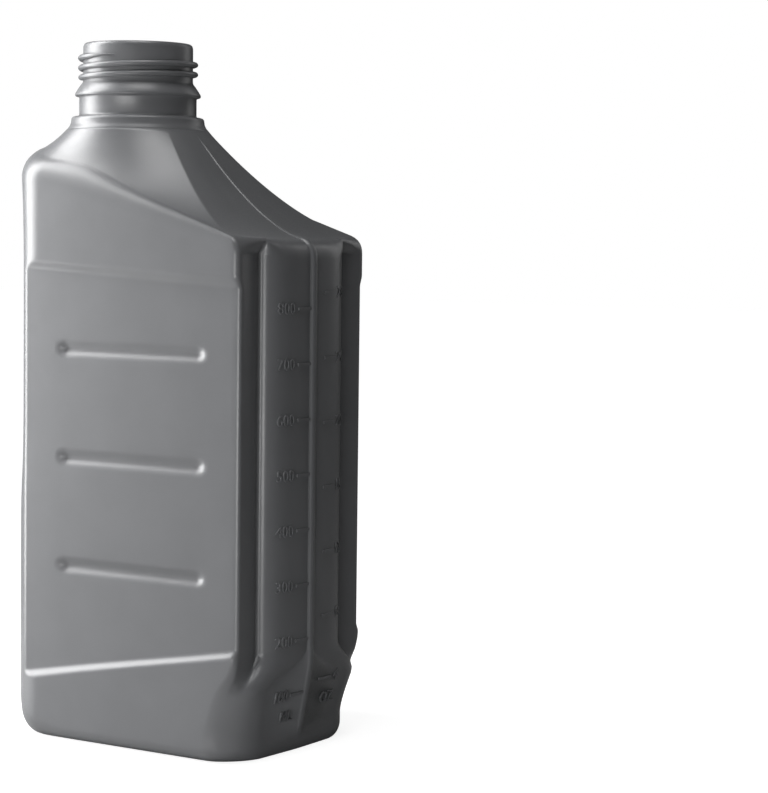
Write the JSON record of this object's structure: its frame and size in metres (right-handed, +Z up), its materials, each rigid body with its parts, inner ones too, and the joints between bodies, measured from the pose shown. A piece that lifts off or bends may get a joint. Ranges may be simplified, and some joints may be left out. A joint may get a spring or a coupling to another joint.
{
  "type": "motor oil bottle",
  "caption": "Rectangular blow-moulded bottle with an offset threaded neck, a sloping shoulder, recessed label panels and a grooved grip end.",
  "frame": {"origin": "centre of the base's bounding box, on the surface that the bottle stands on", "axes": "+Z up along the neck, +X towards the end with the measuring scale, wide faces towards +Y and -Y"},
  "size_m": [0.1076, 0.067, 0.2175],
  "materials": {
    "moulded_hdpe": "satin, with a fine mould grain"
  },
  "bodies": {
    "root": {"bottle": "moulded_hdpe"}
  },
  "joints": []
}
